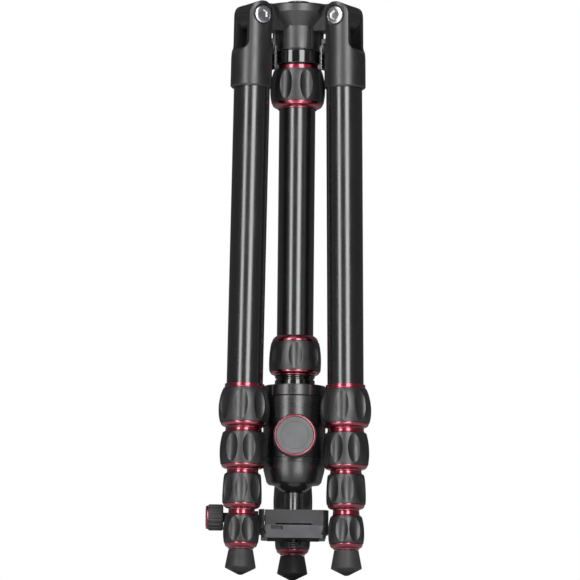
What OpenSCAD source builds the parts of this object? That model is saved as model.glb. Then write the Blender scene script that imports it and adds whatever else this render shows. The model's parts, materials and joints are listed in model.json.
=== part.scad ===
// Travel tripod folded for carrying: the three legs are swung back along the column
// and enclose the ball head.
// +Z points up as the folded tripod stands on its feet, the column axis is x = y = 0,
// and the feet stand on z = 0.
// The camera side faces -Y: leg a is on the left, leg b on the right, leg c behind the column.

/* [Legs] */
// Distance from a leg's hinge to the tip of its foot, with the leg pushed in
leg_length = 341.5; // [330:0.5:380]
// Distance from the column axis to each leg hinge
hinge_radius = 31.9; // [31.6:0.1:33]
// Outward slant of a folded leg, in degrees
leg_splay = 0.85; // [0.8:0.01:1]
// Outer diameter of the thickest leg tube
tube_d = 22; // [21.6:0.1:22.2]
// Difference in diameter between one leg tube and the next
tube_step = 3; // [2.9:0.05:3.1]
// Wall thickness of the leg tubes
tube_wall = 0.8; // [0.7:0.05:0.85]
// How far the top end of each leg tube stays below the one around it
tube_stagger = 2; // [1:0.5:4]

/* [Leg locks] */
// Lengths of the four rubber grips of a leg, thickest first
grip_lengths = [20.4, 19.2, 17.7, 16.1];
// Largest radii of the four grips
grip_radii = [15.6, 14.2, 12.3, 10.95];
// Radii of the four grips at their upper ends
grip_top_radii = [12.9, 12.6, 11, 9.6];
// Distances from each grip down to the next one, the last to the foot
grip_gaps = [6.3, 6, 7.6, 3.8];
// Heights of the red skirts under the four grips
skirt_heights = [3.6, 3.6, 3.9, 3.6];
// How much the waist of a skirt is wider than the tube in it, on the radius
waist_wall = 1.5; // [1.2:0.1:1.7]
// Height of the red ring above the first grip
top_ring_h = 2.9; // [2:0.1:4]
// Depth of the flutes in the leg grips
flute_depth = 1.7; // [0.8:0.05:1.7]
// Radius of the rounded cutter that makes the flutes
flute_radius = 7.5; // [4:0.1:7.5]
// Number of flutes round a grip
flute_count = 8; // [6:1:8]

/* [Feet] */
// Height of a rubber foot
foot_h = 15.2; // [14:0.1:17]
// Radius of a foot at its upper end
foot_top_r = 7.4; // [7:0.1:7.8]
// Largest radius of a foot
foot_r = 9.4; // [8.5:0.1:10]
// Height of the largest radius above the tip
foot_cone_h = 4.2; // [3:0.1:5]
// Radius of the small flat at the tip
foot_tip_r = 1.2; // [0.8:0.1:2]

/* [Shoulders] */
// Outer radius of the sleeve that holds the top leg tube
sleeve_r = 12.6; // [12.4:0.1:12.8]
// How far the sleeve stands outwards of its tube, away from the column
sleeve_shift = 0.6; // [0.4:0.1:0.8]
// Distance from the hinge down to the open end of the sleeve
sleeve_drop = 44.2; // [40:0.2:48]
// Distance from the hinge down to the floor of the fork
fork_drop = 20.4; // [20:0.1:22]
// Half the width of the fork's ears, seen along the hinge
ear_half = 8.2; // [7.8:0.1:8.4]
// Distance from the hinge to the outer face of an ear
ear_out = 12; // [11.5:0.1:12.3]
// Distance from the hinge's middle to the inner face of an ear
ear_in = 6.8; // [6.6:0.1:7.4]
// Height of the ears above the hinge
ear_rise = 8.4; // [8:0.1:8.6]
// Rounding of the top corners of the ears
ear_corner_r = 7.8; // [6:0.1:7.8]
// Radius of the round back of the ears, seen from above
ear_round_r = 12.3; // [12.2:0.1:12.4]

/* [Hinge bolts] */
// Radius of the bolt heads
bolt_head_r = 5.5; // [5:0.1:5.8]
// Height of the bolt heads
bolt_head_h = 2; // [1.6:0.1:2.4]
// Radius of the bolt shanks
bolt_r = 3; // [2.6:0.1:3.4]
// Radius of the hollow round a bolt head
counterbore_r = 6.5; // [6.2:0.1:6.9]
// Depth of the hollow round a bolt head
counterbore_depth = 1.6; // [1.2:0.1:2]

/* [Angle stops] */
// Width of an angle stop
stop_w = 12.4; // [11:0.2:12.8]
// Width of an angle stop at its tooth
stop_top_w = 8; // [6:0.2:9]
// Thickness of an angle stop
stop_t = 1.5; // [1.2:0.1:1.7]
// Distance from the hinge down to the tooth of a stop
stop_drop = 12.4; // [12.2:0.1:13]
// Distance from the hinge down to the lower end of a stop
stop_reach = 31.5; // [28:0.5:34]
// Thickness of the tooth
tooth_h = 3; // [2.4:0.1:3.4]
// Length of the tooth along its slot
tooth_l = 8.3; // [6:0.1:10]

/* [Crown] */
// Radius of the crown's top disc
crown_r = 23.5; // [22.5:0.1:24]
// Thickness of the rim of the top disc
rim_h = 5.2; // [4:0.1:6]
// Height of the cone under the rim
cone_h = 8.5; // [7:0.1:9]
// Radius of the neck under the cone
neck_r = 14.2; // [14:0.1:15]
// Half the thickness of the tongues that carry the legs
tongue_half = 6.3; // [5.8:0.1:6.5]
// Radius of the rounded end of a tongue
tongue_r = 8.3; // [7.8:0.1:8.4]
// Width of the pads on the neck between the legs, at the top
pad_top_w = 11.6; // [10:0.1:13]
// Width of the same pads at the bottom
pad_bottom_w = 9.4; // [8:0.1:10]
// Radius of the glossy seat ring under the neck
seat_r = 16.5; // [16:0.1:17]
// Height of the seat ring
seat_h = 8.6; // [8:0.1:9.4]
// Distance from the hinges down to the top of the seat ring
seat_drop = 19.2; // [18:0.1:21]

/* [Column] */
// Outer diameter of the column tube
column_d = 22; // [21.6:0.1:22.2]
// Wall thickness of the column tube
column_wall = 0.8; // [0.7:0.05:0.85]
// Outer diameter of the inner column post
post_d = 19; // [18.9:0.05:19.1]
// Height of the red ring above the upper column lock's grip
column_collar_h = 2.8; // [2.2:0.1:4]
// Length of the upper column lock's grip
column_grip_h = 20; // [18:0.1:20.4]
// Largest radius of the upper column lock's grip
column_grip_r = 16.9; // [16:0.1:17]
// Height of the lower column lock's grip above the feet
post_grip_base = 125.1; // [124:0.1:150]
// Length of the lower column lock's grip
post_grip_h = 17.7; // [16:0.1:20]
// Largest radius of the lower column lock's grip
post_grip_r = 16.3; // [15.5:0.1:16.6]

/* [Ball head] */
// Height of the ball's centre above the feet
ball_z = 65.1; // [64:0.1:67]
// Radius of the ball
ball_r = 15; // [14.5:0.1:15.3]
// Outer radius of the head's housing
head_r = 19; // [18.6:0.1:19.2]
// Height of the head's foot above the standing plane
head_top_z = 116.1; // [115:0.1:117]
// Height of the notched panning base
pan_base_h = 6.6; // [6:0.1:7]
// Number of notches in the panning base
pan_notch_count = 10; // [8:1:12]
// Radius of the ball's stem
stem_r = 6; // [5.5:0.1:6.5]
// Radius of the main locking knob
main_knob_r = 13.1; // [12:0.1:13.6]
// Height of the main locking knob's axis above the ball's centre
main_knob_rise = 18.5; // [17.5:0.1:20]
// Thickness of the main locking knob
main_knob_t = 11; // [9:0.5:12]

/* [Clamp and plate] */
// Half the width of the clamp across its jaws
clamp_half_w = 21.2; // [20.8:0.1:21.4]
// Half the length of the clamp along its jaws
clamp_half_l = 10.8; // [10:0.1:11]
// Height of the clamp's body above the feet
clamp_z = 31.2; // [30.5:0.1:32]
// Thickness of the clamp's body
clamp_t = 9; // [8:0.1:9.4]
// Radius of the clamp's knob
clamp_knob_r = 8; // [7:0.1:8.4]
// Length of the clamp's knob
clamp_knob_l = 10.8; // [9:0.1:11]
// Distance from the column axis to the far end of the clamp's knob
clamp_knob_reach = 53.4; // [52:0.1:56]
// Half the width of the plate's dovetail at its wide edge
dovetail_half = 18.9; // [18.6:0.1:19]
// Half the length of the plate
plate_half_l = 16; // [14:0.5:16]
// How far the plate is pushed back in the clamp, away from the front legs
plate_shift = 3.8; // [3.6:0.1:5]
// Half the width of the plate's flange on the camera side
flange_half = 19.7; // [19:0.1:19.8]
// Thickness of the plate
plate_t = 7.8; // [7.4:0.1:8.2]
// Radius of the camera screw, a 1/4 inch thread
screw_r = 3.175; // [3.1:0.005:3.2]
// How far the camera screw stands out of the plate's pad
screw_out = 5; // [4:0.1:5.5]

/* [Hidden] */
$fn = 96;

// Directions of the legs a, b and c round the column, in degrees
leg_turns = [210, 330, 90];
// Turn of each grip's flutes, by leg and lock, in degrees
flute_turns = [[8, 30, 12, 36], [20, 5, 33, 14], [0, 18, 40, 10]];

// Clearances
glue_gap = 0.03;
slide_gap = 0.25;
turn_gap = 0.25;
face_gap = 0.2;
pin_gap = 0.08;
// Overrun of the cuts
over = 1;

// Leg frame: z runs up the leg from the tip of the foot
hinge_z = leg_length * cos(leg_splay);
tube_end_wall = 3.6;
tube_1_top = leg_length - fork_drop - tube_end_wall;

// Parts of a lock
spigot_wall = 0.5;
nut_wall = 0.55;
nut_step = 5;
collet_h = 3.6;
collet_wall = 0.9;
edge = 0.4;
shim_l = 22;
shim_top = 2;
foot_bore_floor = 6;
// Height of the widest point of a grip, as a share of its length
bulge_share = 0.4;
// Number of steps in a grip's outline
grip_steps = 6;
// Radius lost and height used by the two bends of a skirt, as shares of its whole drop and height
skirt_bend_shares = [[0.08, 0.26], [0.42, 0.62]];
// Red ring above the lower column lock: its upright edge, its cone and its wall on top
column_ring_h = 0.6;
column_ring_cone_h = 3.2;
column_ring_wall = 0.6;

function tube_r(k) = (tube_d - tube_step * k) / 2;
function bore_r(k) = tube_r(k) - tube_wall;
function sum(v, from) = from >= len(v) ? 0 : v[from] + sum(v, from + 1);
function grip_base(k) = foot_h + sum(grip_gaps, k) + (k < 3 ? sum(grip_lengths, k + 1) : 0) + face_gap;
function grip_top(k) = grip_base(k) + grip_lengths[k];
function waist_r(k) = k < 3 ? tube_r(k + 1) + waist_wall : foot_top_r + glue_gap + edge;
function tube_top(k) = tube_1_top - tube_stagger * k;

// Grip profile: an arc through the widest point and the upper end
function bulge_r(height, r_max, arc) = r_max - arc + sqrt(arc * arc - height * height);
function bulge_arc(length, r_max, r_top) = let (rise = length * (1 - bulge_share), drop = r_max - r_top)
    (rise * rise + drop * drop) / (2 * drop);
function grip_foot_r(length, r_max, r_top) =
    bulge_r(length * bulge_share, r_max, bulge_arc(length, r_max, r_top));

// Angle stops, distances from the hinge
stop_wide_drop = 17;
stop_notch_drop = 20.8;
stop_notch_depth = 0.8;

// Crown
crown_top = hinge_z + ear_rise;
cone_low_r = 15.6;
cone_bottom = crown_top - rim_h - cone_h;
rim_edge = 0.8;
ear_sweep_r = 12.1;
column_bore_r = column_d / 2 + slide_gap;
crown_spigot_r = 13.4;
column_ring_top = hinge_z - seat_drop - face_gap - seat_h;
column_grip_base = column_ring_top - column_collar_h - column_grip_h;
crown_spigot_end = column_grip_base + nut_step;
pad_out = 1.8;
pad_end = hinge_z - seat_drop + face_gap;
pad_low = pad_end + edge;
rib_w = 0.9;
rib_out = 0.9;
rib_turn = 37;
notch_r = 1.6;
notch_ring_r = 9.4;
notch_turns = [10, 40, 67];
tongue_low = 7.6;
tongue_step = 0.2;

// Column
column_end = post_grip_base + nut_step + edge;
cap_flange_r = 12.8;
cap_flange_h = 1.3;
cap_boss_r = 7.3;
cap_boss_h = 2.3;
cap_plug_h = 9;
cap_recess_r = 5.9;
cap_floor = 2.4;
cap_bottom = crown_top + face_gap;
hook_wire_r = 0.9;
hook_r = 3.9;
hook_open_turn = 290;
hook_shaft_r = 1.5;
hook_shaft_l = 12;
post_room = 11;
post_top = cap_bottom - cap_plug_h - post_room;
column_waist_r = 12;
column_skirt_h = 4;
post_skirt_h = 2.7;
post_waist_r = 12.6;
column_grip_top_r = 14.8;
post_grip_top_r = 14.5;

// Head
foot_ring_r = 12.2;
foot_ring_top = post_grip_base - post_skirt_h - face_gap;
foot_ring_edge = 0.6;
foot_ring_band = 1.4;
foot_groove_h = 0.9;
foot_groove_depth = 0.8;
pan_notch_w = 1.4;
pan_notch_depth = 0.8;
pan_notch_turn = -27;
pan_spigot_r = 7;
pan_spigot_h = 8;
head_body_top = head_top_z - pan_base_h - slide_gap;
head_band_h = 7.3;
head_groove_h = 1;
head_groove_depth = 0.5;
// Heights in the head, measured from the ball's centre
collar_top = ball_z + 7;
collar_band_z = ball_z + 3.8;
collar_taper_z = ball_z - 0.4;
collar_low_z = ball_z - 7.7;
collar_bottom = ball_z - 9.1;
collar_low_r = 16.7;
collar_end_r = 15.4;
head_wall = 3.5;
head_ceiling = ball_z + 33.9;
cup_top = ball_z + 16.9;
cup_bottom = ball_z + 7.4;
stem_socket = ball_z - 13.1;
main_knob_z = ball_z + main_knob_rise;
post_end = head_top_z - 6.1;
knob_boss_r = 8.4;
knob_boss_out = 1.6;
knob_shaft_r = 3.4;
knob_shaft_in = 15.9;
knob_ring_w = 1.3;
knob_ring_in = 0.5;
knob_ring_h = 1.4;
knob_disc_drop = 0.5;
knob_flute_r = 3.2;
knob_flute_depth = 0.4;
knob_flute_count = 12;
pan_knob_z = 105.4;
pan_knob_r = 4.4;
pan_knob_l = 8;
pan_knob_turn = 150;
pan_screw_r = 1.6;
pan_screw_in = 11;
small_flute_r = 1.2;
small_flute_depth = 0.5;
small_flute_count = 14;

// Clamp
clamp_corner = 4.5;
jaw_corner = 3;
jaw_t = 3.5;
jaw_half_l = 9.6;
jaw_rise = 0.3;
plate_gap = 0.3;
plate_z = clamp_z - plate_gap - plate_t;
clamp_lip_drop = 5.4;
dovetail_slope = 2;
dovetail_edge_h = 1.4;
dovetail_h = 3.6;
neck_half = 16.9;
flange_t = 2;
plate_corner = 3;
clamp_recess_w = 22;
clamp_recess_depth = 0.8;
plate_notch_x = -14;
plate_notch_w = 7.5;
plate_notch_in = 4;
plate_notch_h = 2.5;
plate_notch_drop = 0.5;
clamp_screw_r = 2;
clamp_shaft_r = 3;
clamp_collar_r = 4.2;
clamp_collar_l = 3;
clamp_screw_l = 13;
clamp_cap_h = 1.7;
clamp_axis_z = clamp_z + clamp_t / 2;
screw_hole_gap = 0.2;
screw_neck_r = 2.6;
screw_head_r = 5.2;
screw_head_h = 2.4;
screw_head_in = 3.2;
screw_head_z = plate_z + plate_t - screw_head_in;
screw_slot_w = 1.2;
screw_slot_depth = 0.9;
pad_t = 0.8;
pad_stand = 0.4;
pad_half_w = 15.8;
pad_half_l = 13.4;
pad_hole_r = 6;

// Places
module on_leg(i) {
    rotate([0, 0, leg_turns[i]])
        translate([hinge_radius, 0, hinge_z])
            rotate([0, -leg_splay, 0])
                translate([0, 0, -leg_length])
                    children();
}

module at_hinge() {
    translate([0, 0, leg_length])
        children();
}

// A flat outline drawn across x and up z, as thick as t along y
module upright(t) {
    rotate([90, 0, 0])
        linear_extrude(height = t, center = true)
            children();
}

module rounded(half_w, half_l, r) {
    square([2 * half_w, 2 * (half_l - r)], center = true);
    square([2 * (half_w - r), 2 * half_l], center = true);
    for (x = [-1, 1])
        for (y = [-1, 1])
            translate([x * (half_w - r), y * (half_l - r)])
                circle(r);
}

module ring(r_out, r_in, h) {
    difference() {
        cylinder(r = r_out, h = h);
        translate([0, 0, -over])
            cylinder(r = r_in, h = h + 2 * over);
    }
}

// Twist locks
module grip(base, length, r_max, r_top, r_in, turn, depth) {
    arc = bulge_arc(length, r_max, r_top);
    difference() {
        rotate_extrude()
            polygon([
                [r_in, base],
                for (j = [0 : grip_steps])
                    let (share = j / grip_steps)
                        [bulge_r(length * (share - bulge_share), r_max, arc), base + length * share],
                [r_in, base + length]
            ]);
        for (j = [0 : flute_count - 1])
            rotate([0, 0, turn + j * 360 / flute_count])
                translate([r_max + flute_radius - depth, 0, base - over])
                    cylinder(r = flute_radius, h = length + 2 * over, $fn = 48);
    }
}

module nut(base, length, r_skirt, r_core, r_bore_top, r_bore, skirt_h, r_waist) {
    drop = r_skirt - r_waist;
    r_seat = r_bore + collet_wall + slide_gap;
    low = base - skirt_h;
    step = base + nut_step;
    rotate_extrude()
        polygon([
            [r_bore_top, step], [r_bore_top, base + length], [r_core, base + length],
            [r_core, base], [r_skirt, base],
            for (share = skirt_bend_shares) [r_skirt - drop * share[0], base - skirt_h * share[1]],
            [r_waist, low], [r_bore, low], [r_bore, step - collet_h],
            [r_seat, step - collet_h], [r_seat, step]
        ]);
}

module collet(base, r_in, r_out) {
    translate([0, 0, base + nut_step - collet_h + face_gap])
        ring(r_out, r_in, collet_h - 2 * face_gap);
}

module leg_lock(i, k) {
    r_core = tube_r(k) + spigot_wall + turn_gap + nut_wall;
    r_inner = tube_r(k + 1) + slide_gap;
    base = grip_base(k);
    on_leg(i) {
        color("#2e2f31")
            grip(base, grip_lengths[k], grip_radii[k], grip_top_radii[k], r_core + glue_gap,
                flute_turns[i][k], flute_depth);
        color("#a8183a")
            nut(base - glue_gap, grip_lengths[k] + glue_gap, grip_foot_r(grip_lengths[k], grip_radii[k],
                grip_top_radii[k]) - edge, r_core, tube_r(k) + spigot_wall + turn_gap, r_inner,
                skirt_heights[k] - glue_gap, waist_r(k));
        color("#e8e6df")
            collet(base, r_inner, r_inner + collet_wall);
    }
}

module lock_collar(k) {
    base = grip_base(k);
    top = grip_top(k);
    ring_high = k == 0 ? top_ring_h : grip_gaps[k - 1] - skirt_heights[k - 1] - face_gap;
    ring_top_r = k == 0 ? tube_r(k) + 2 * spigot_wall : waist_r(k - 1);
    low = base + nut_step + face_gap;
    spigot_r = tube_r(k) + spigot_wall;
    rotate_extrude()
        polygon([
            [bore_r(k), low], [spigot_r, low], [spigot_r, top + face_gap],
            [grip_top_radii[k] - edge, top + face_gap], [ring_top_r, top + ring_high],
            [bore_r(k), top + ring_high]
        ]);
}

module leg_tube(i, k) {
    low = k < 4 ? grip_base(k) + nut_step + face_gap : foot_bore_floor + face_gap;
    top = tube_top(k);
    on_leg(i) {
        color("#16171a")
            translate([0, 0, low])
                ring(tube_r(k), bore_r(k), top - low);
        if (k < 4)
            color("#a8183a")
                lock_collar(k);
        if (k > 0)
            color("#e8e6df")
                translate([0, 0, top - shim_top - shim_l])
                    ring(bore_r(k - 1) - slide_gap, tube_r(k) + glue_gap, shim_l);
    }
}

module foot(i) {
    bore = tube_r(4) + glue_gap;
    on_leg(i)
        color("#303133")
            rotate_extrude()
                polygon([
                    [0, 0], [foot_tip_r, 0], [foot_r, foot_cone_h], [foot_r - edge, foot_cone_h + 2 * edge],
                    [foot_top_r, foot_h], [bore, foot_h], [bore, foot_bore_floor], [0, foot_bore_floor]
                ]);
}

// Shoulder with its fork and sleeve
module ear_outline() {
    low = -fork_drop - tube_end_wall / 2;
    for (side = [-1, 1])
        translate([side * (ear_half - ear_corner_r), ear_rise - ear_corner_r])
            circle(ear_corner_r);
    translate([-ear_half, low])
        square([2 * ear_half, ear_rise - ear_corner_r - low]);
    translate([ear_corner_r - ear_half, low])
        square([2 * (ear_half - ear_corner_r), ear_rise - low]);
}

module shoulder(i) {
    sleeve_top = leg_length - fork_drop;
    sleeve_low = leg_length - sleeve_drop;
    color("#2b2c2e")
        on_leg(i)
            difference() {
                union() {
                    translate([sleeve_shift, 0, sleeve_low])
                        cylinder(r = sleeve_r, h = sleeve_top - sleeve_low);
                    intersection() {
                        at_hinge()
                            upright(2 * ear_out)
                                ear_outline();
                        translate([sleeve_shift, 0, sleeve_low])
                            cylinder(r = ear_round_r, h = sleeve_drop + ear_rise + over);
                    }
                }
                translate([0, 0, sleeve_low - over])
                    cylinder(r = tube_r(0) + glue_gap, h = tube_1_top + face_gap + over - sleeve_low);
                translate([-sleeve_r - over, -ear_in, sleeve_top])
                    cube([2 * (sleeve_r + over), 2 * ear_in, fork_drop + ear_rise + over]);
                at_hinge()
                    rotate([90, 0, 0])
                        cylinder(r = bolt_r + pin_gap, h = 2 * (ear_out + over), center = true);
                for (side = [-1, 1])
                    at_hinge()
                        rotate([-90 * side, 0, 0])
                            translate([0, 0, ear_out - counterbore_depth])
                                cylinder(r = counterbore_r, h = counterbore_depth + over);
            }
}

// Plate of an angle stop: narrow at the tooth, wide below, with a small notch in each side
module stop_outline() {
    half = stop_w / 2;
    half_top = stop_top_w / 2;
    half_notch = half - stop_notch_depth;
    right = [
        [half_top, -stop_drop], [half_top, -stop_wide_drop + half_top - half], [half, -stop_wide_drop],
        [half, -stop_notch_drop], [half_notch, -stop_notch_drop - stop_notch_depth],
        [half, -stop_notch_drop - 2 * stop_notch_depth], [half, -stop_reach]
    ];
    polygon([
        each right,
        for (j = [len(right) - 1 : -1 : 0]) [-right[j][0], right[j][1]]
    ]);
}

module angle_stop(i) {
    plate_x = sleeve_shift - sleeve_r - slide_gap - stop_t;
    color("#6f7174")
        on_leg(i)
            at_hinge()
                union() {
                    translate([plate_x, 0, 0])
                        rotate([90, 0, 90])
                            linear_extrude(height = stop_t)
                                stop_outline();
                    translate([plate_x, -stop_top_w / 2, -stop_drop - tooth_h])
                        cube([stop_t + tooth_l, stop_top_w, tooth_h]);
                    translate([plate_x, 0, stop_t - stop_reach])
                        rotate([90, 0, 0])
                            cylinder(r = stop_t, h = stop_w, center = true);
                }
}

module bolt_head() {
    difference() {
        rotate_extrude()
            polygon([[0, 0], [bolt_head_r, 0], [bolt_head_r, bolt_head_h - 2 * edge],
                [bolt_head_r - 2 * edge, bolt_head_h], [0, bolt_head_h]]);
        translate([0, 0, bolt_head_h / 2])
            cylinder(r = bolt_head_r / 2, h = bolt_head_h, $fn = 6);
    }
}

module hinge_bolts() {
    seat = ear_out - counterbore_depth + face_gap;
    color("#d8d9dc")
        for (i = [0 : 2])
            on_leg(i)
                at_hinge() {
                    rotate([-90, 0, 0])
                        translate([0, 0, seat])
                            bolt_head();
                    rotate([-90, 0, 0])
                        translate([0, 0, -seat])
                            cylinder(r = bolt_r, h = 2 * seat);
                    rotate([90, 0, 0])
                        difference() {
                            translate([0, 0, seat + glue_gap])
                                bolt_head();
                            translate([0, 0, seat - over])
                                cylinder(r = bolt_r + glue_gap, h = over);
                        }
                }
}

// Crown with its neck and tongues
module tongue() {
    difference() {
        upright(2 * (tongue_half + tongue_step))
            difference() {
                union() {
                    circle(tongue_r);
                    translate([neck_r - hinge_radius, -tongue_low])
                        square([hinge_radius - neck_r, tongue_low + ear_rise]);
                    square([ear_half - ear_corner_r, ear_rise]);
                    square([ear_half, ear_rise - ear_corner_r]);
                    translate([ear_half - ear_corner_r, ear_rise - ear_corner_r])
                        circle(ear_corner_r);
                }
                for (turn = notch_turns)
                    rotate(turn)
                        translate([notch_ring_r, 0])
                            circle(notch_r);
            }
        rotate([90, 0, 0])
            cylinder(r = bolt_r + glue_gap, h = 2 * (tongue_half + over), center = true);
    }
}

module neck_pad() {
    depth = neck_r + pad_out;
    height = cone_bottom + over - pad_low;
    intersection() {
        translate([0, 0, pad_low - over])
            cylinder(r = depth, h = height + 2 * over);
        translate([depth / 2, 0, pad_low])
            rotate([90, 0, 90])
                linear_extrude(height = depth)
                    polygon([[-pad_bottom_w / 2, 0], [pad_bottom_w / 2, 0], [pad_top_w / 2, height],
                        [-pad_top_w / 2, height]]);
    }
}

module crown() {
    // Room that an ear sweeps through as its leg swings
    sweep_in = tongue_half;
    sweep_out = ear_out + 2 * slide_gap;
    color("#2a2b2d")
        difference() {
            union() {
                rotate_extrude()
                    polygon([
                        [0, crown_spigot_end], [crown_spigot_r, crown_spigot_end],
                        [crown_spigot_r, pad_end], [neck_r, pad_end],
                        [neck_r, cone_bottom], [cone_low_r, cone_bottom],
                        [crown_r, crown_top - rim_h], [crown_r, crown_top - rim_edge],
                        [crown_r - rim_edge, crown_top], [0, crown_top]
                    ]);
                for (turn = leg_turns)
                    rotate([0, 0, turn])
                        translate([hinge_radius, 0, hinge_z])
                            tongue();
                for (turn = leg_turns)
                    rotate([0, 0, turn + 180]) {
                        neck_pad();
                        for (side = [-1, 1])
                            rotate([0, 0, side * rib_turn])
                                translate([neck_r - over, -rib_w / 2, pad_low])
                                    cube([over + rib_out, rib_w, cone_bottom + over - pad_low]);
                    }
            }
            translate([0, 0, crown_spigot_end - over])
                cylinder(r = column_bore_r, h = crown_top - crown_spigot_end + 2 * over);
            for (turn = leg_turns)
                for (side = [-1, 1])
                    rotate([0, 0, turn])
                        translate([hinge_radius, side * (sweep_in + sweep_out) / 2, hinge_z])
                            rotate([90, 0, 0])
                                cylinder(r = ear_sweep_r, h = sweep_out - sweep_in, center = true);
        }
}

module column_seat() {
    top = pad_end - face_gap;
    low = top - seat_h;
    bore = crown_spigot_r + glue_gap;
    color("#0e0f11")
        rotate_extrude()
            polygon([
                [bore, low], [seat_r - edge, low], [seat_r, low + edge],
                [seat_r, top - 2 * edge], [seat_r - 2 * edge, top], [bore, top]
            ]);
}

// Column
module column_lock_1() {
    r_inner = column_d / 2 + slide_gap;
    r_spigot = crown_spigot_r + turn_gap;
    r_core = r_spigot + nut_wall;
    ring_low = column_grip_base + column_grip_h + glue_gap;
    color("#2e2f31")
        grip(column_grip_base, column_grip_h, column_grip_r, column_grip_top_r, r_core + glue_gap,
            flute_turns[2][1], flute_depth);
    color("#a8183a") {
        nut(column_grip_base - glue_gap, column_grip_h + glue_gap,
            grip_foot_r(column_grip_h, column_grip_r, column_grip_top_r) - edge, r_core,
            r_spigot, r_inner, column_skirt_h, column_waist_r);
        rotate_extrude()
            polygon([
                [r_spigot, ring_low], [column_grip_top_r - edge, ring_low],
                [column_grip_top_r - edge, column_ring_top - column_ring_h],
                [column_grip_top_r - 2 * edge, column_ring_top], [r_spigot, column_ring_top]
            ]);
    }
    color("#e8e6df")
        collet(column_grip_base, r_inner, r_inner + collet_wall);
}

module column_tube() {
    r = column_d / 2;
    ring_low = post_grip_base + post_grip_h + face_gap;
    color("#16171a")
        translate([0, 0, column_end])
            ring(r, r - column_wall, cap_bottom - column_end);
    color("#a8183a")
        rotate_extrude()
            polygon([
                [r - column_wall, column_end], [r + spigot_wall, column_end], [r + spigot_wall, ring_low],
                [post_grip_top_r - edge, ring_low], [post_grip_top_r - edge, ring_low + column_ring_h],
                [r + column_ring_wall, ring_low + column_ring_h + column_ring_cone_h],
                [r - column_wall, ring_low + column_ring_h + column_ring_cone_h]
            ]);
}

module column_cap() {
    r_plug = column_d / 2 - column_wall - glue_gap;
    flange_top = cap_bottom + cap_flange_h;
    boss_top = flange_top + cap_boss_h;
    color("#3a3b3e")
        difference() {
            rotate_extrude()
                polygon([
                    [0, cap_bottom - cap_plug_h], [r_plug, cap_bottom - cap_plug_h], [r_plug, cap_bottom],
                    [cap_flange_r, cap_bottom], [cap_flange_r, flange_top],
                    [cap_boss_r + edge, flange_top], [cap_boss_r, flange_top + edge],
                    [cap_boss_r, boss_top - edge], [cap_boss_r - edge, boss_top], [0, boss_top]
                ]);
            translate([0, 0, cap_bottom - cap_plug_h + cap_floor])
                cylinder(r = cap_recess_r, h = cap_plug_h + cap_flange_h + cap_boss_h);
            translate([0, 0, cap_bottom - cap_plug_h - over])
                cylinder(r = hook_shaft_r + pin_gap, h = cap_floor + 2 * over);
        }
}

module column_hook() {
    eye_z = cap_bottom + cap_flange_h + cap_boss_h - hook_r;
    shaft_top = eye_z - hook_r;
    color("#c9cacd") {
        translate([0, 0, eye_z])
            rotate([90, 0, 0])
                rotate([0, 0, -90])
                    rotate_extrude(angle = hook_open_turn)
                        translate([hook_r, 0])
                            circle(hook_wire_r, $fn = 32);
        translate([0, 0, shaft_top - hook_shaft_l])
            cylinder(r = hook_shaft_r, h = hook_shaft_l);
    }
}

module column_lock_2() {
    r_inner = post_d / 2 + slide_gap;
    r_core = column_d / 2 + spigot_wall + turn_gap + nut_wall;
    color("#2e2f31")
        grip(post_grip_base, post_grip_h, post_grip_r, post_grip_top_r, r_core + glue_gap,
            flute_turns[2][0], flute_depth);
    color("#a8183a")
        nut(post_grip_base - glue_gap, post_grip_h + glue_gap,
            grip_foot_r(post_grip_h, post_grip_r, post_grip_top_r) - edge, r_core,
            column_d / 2 + spigot_wall + turn_gap, r_inner, post_skirt_h - glue_gap, post_waist_r);
    color("#e8e6df")
        collet(post_grip_base, r_inner, r_inner + collet_wall);
}

module column_post() {
    color("#16171a")
        translate([0, 0, post_end])
            ring(post_d / 2, post_d / 2 - column_wall, post_top - post_end);
    color("#e8e6df")
        translate([0, 0, post_top - shim_top - shim_l])
            ring(column_d / 2 - column_wall - slide_gap, post_d / 2 + glue_gap, shim_l);
}

// Ball head
module head_foot_ring() {
    bore = post_d / 2 + glue_gap;
    inset = foot_ring_r - foot_ring_edge;
    groove_top = foot_ring_top - foot_ring_band;
    groove_low = groove_top - foot_groove_h;
    color("#0e0f11")
        rotate_extrude()
            polygon([
                [bore, head_top_z], [inset, head_top_z], [foot_ring_r, head_top_z + foot_ring_edge],
                [foot_ring_r, groove_low - foot_ring_edge], [foot_ring_r - foot_groove_depth, groove_low],
                [foot_ring_r - foot_groove_depth, groove_top], [foot_ring_r, foot_ring_top - foot_ring_edge],
                [inset, foot_ring_top], [bore, foot_ring_top]
            ]);
}

module pan_base() {
    low = head_top_z - pan_base_h;
    color("#3a3b3d")
        difference() {
            union() {
                translate([0, 0, low])
                    cylinder(r = head_r, h = pan_base_h - edge);
                translate([0, 0, head_top_z - edge])
                    cylinder(r = head_r - edge, h = edge);
                translate([0, 0, low - pan_spigot_h])
                    cylinder(r = pan_spigot_r, h = pan_spigot_h);
            }
            translate([0, 0, post_end - face_gap])
                cylinder(r = post_d / 2 + glue_gap, h = head_top_z - post_end + over);
            for (j = [0 : pan_notch_count - 1])
                rotate([0, 0, pan_notch_turn + j * 360 / pan_notch_count])
                    translate([head_r - pan_notch_depth, -pan_notch_w / 2, low - over])
                        cube([pan_notch_depth + over, pan_notch_w, pan_base_h + 2 * over]);
        }
}

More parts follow.
